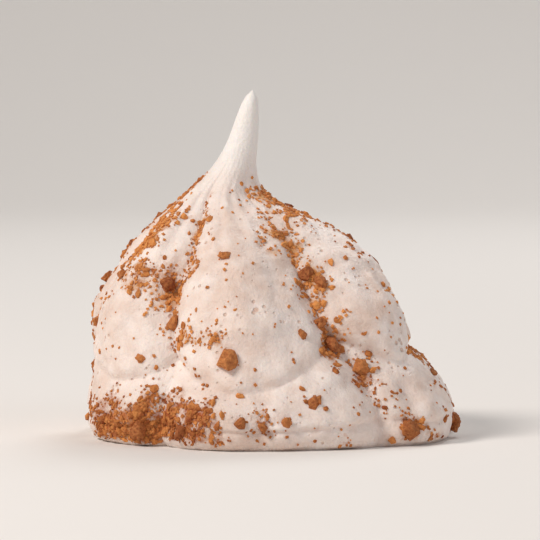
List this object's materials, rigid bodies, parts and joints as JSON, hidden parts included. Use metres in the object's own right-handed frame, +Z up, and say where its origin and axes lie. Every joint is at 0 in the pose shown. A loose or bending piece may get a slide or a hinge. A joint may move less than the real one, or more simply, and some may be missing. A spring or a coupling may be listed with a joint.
{
  "type": "meringue cookie",
  "caption": "Piped meringue kiss with a flat base, overlapping star lobes in two rounds and a leaning pulled peak, sprinkled with coarse biscuit crumbs.",
  "frame": {"origin": "middle of the flat base, at the height of the surface it stands on", "axes": "+Z up through the dome towards the peak; the side that the picture shows faces -Y; the peak leans towards -X"},
  "size_m": [0.0361, 0.0372, 0.0332],
  "materials": {
    "baked_meringue": "matte",
    "biscuit_crumb": "matte"
  },
  "bodies": {
    "root": {"meringue_cookie": "baked_meringue"}
  },
  "joints": []
}
